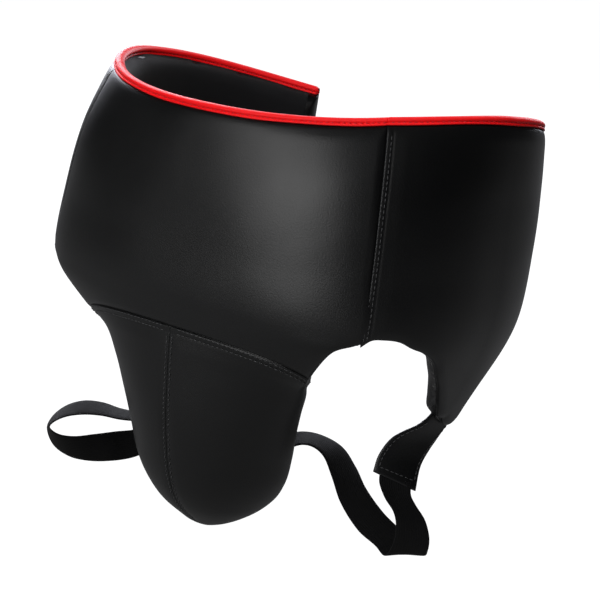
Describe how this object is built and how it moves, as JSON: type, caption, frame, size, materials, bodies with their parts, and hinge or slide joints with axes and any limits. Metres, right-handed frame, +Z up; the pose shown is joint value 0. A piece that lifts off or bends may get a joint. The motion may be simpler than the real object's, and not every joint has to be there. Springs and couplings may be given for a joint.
{
  "type": "groin protector",
  "caption": "Padded black leather groin protector with red waist binding, cupped front, hip wings and elastic leg straps.",
  "frame": {"origin": "middle of the waist opening, level with the top edge at the front", "axes": "+Z up as worn, -Y to the wearer's front, +X to the wearer's left"},
  "size_m": [0.3836, 0.3236, 0.3468],
  "materials": {
    "black_leather": "smooth semi-gloss synthetic leather with a fine grain",
    "red_binding": "smooth red synthetic leather strip, stitched",
    "lining": "black woven lining",
    "foam": "closed-cell foam",
    "cup_shell": "moulded polypropylene",
    "elastic": "woven elastic webbing",
    "hook_and_loop": "hook and loop tape"
  },
  "bodies": {
    "root": {"front_cover": "black_leather", "front_padding": "foam", "front_lining": "lining", "front_binding": "red_binding", "cup_cover_right": "black_leather", "cup_cover_left": "black_leather", "cup_padding": "foam", "cup_shell": "cup_shell", "cup_lining": "lining", "left_leg_strap": "elastic", "right_leg_strap": "elastic", "crotch_anchor": "black_leather"},
    "left_wing": {"left_wing_cover": "black_leather", "left_wing_padding": "foam", "left_wing_lining": "lining", "left_wing_binding": "red_binding", "left_tail_tab": "black_leather"},
    "right_wing": {"right_wing_cover": "black_leather", "right_wing_padding": "foam", "right_wing_lining": "lining", "right_wing_binding": "red_binding", "right_tail_tab": "black_leather", "loop_patch": "hook_and_loop"},
    "waist_strap": {"waist_strap": "elastic", "hook_patch": "hook_and_loop"}
  },
  "joints": [
    {"name": "left_side_seam", "type": "hinge", "parent": "root", "child": "left_wing", "pos_m": [0.1437, -0.1112, -0.07], "axis": [-0.138, 0.219, 0.9659], "range_deg": [-25, 8], "deforming": ["left_leg_strap"]},
    {"name": "right_side_seam", "type": "hinge", "parent": "root", "child": "right_wing", "pos_m": [-0.1437, -0.1112, -0.07], "axis": [-0.138, -0.219, -0.9659], "range_deg": [-25, 8], "deforming": ["right_leg_strap"]},
    {"name": "waist_strap_end", "type": "hinge", "parent": "left_wing", "child": "waist_strap", "pos_m": [0.0965, 0.131, -0.065], "axis": [0, 0, 1], "range_deg": [-60, 30]}
  ]
}
